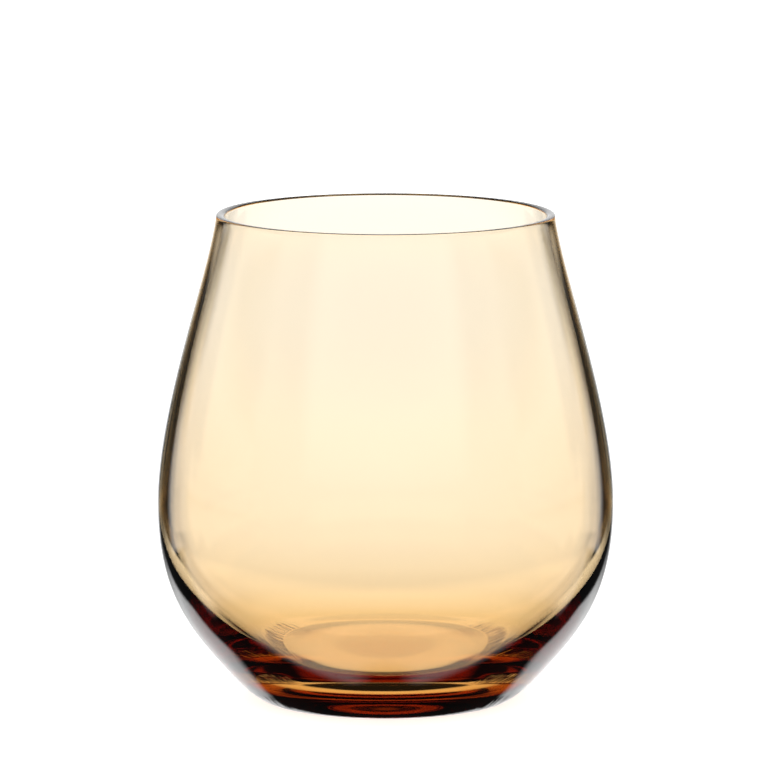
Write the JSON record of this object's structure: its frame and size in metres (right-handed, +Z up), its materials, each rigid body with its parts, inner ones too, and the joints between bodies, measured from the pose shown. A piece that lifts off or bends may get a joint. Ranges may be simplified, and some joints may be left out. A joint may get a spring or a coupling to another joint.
{
  "type": "stemless wine glass",
  "caption": "Stemless wine glass of clear amber glass, with an egg-shaped bowl that narrows to the mouth and a thick flat foot to rest on.",
  "frame": {"origin": "middle of the foot, on the table", "axes": "+Z up along the axis of the bowl; the shape is turned, so X and Y are alike"},
  "size_m": [0.098, 0.098, 0.1052],
  "materials": {
    "amber_glass": "clear, fire-polished, amber all through"
  },
  "bodies": {
    "root": {"glass_body": "amber_glass"}
  },
  "joints": []
}
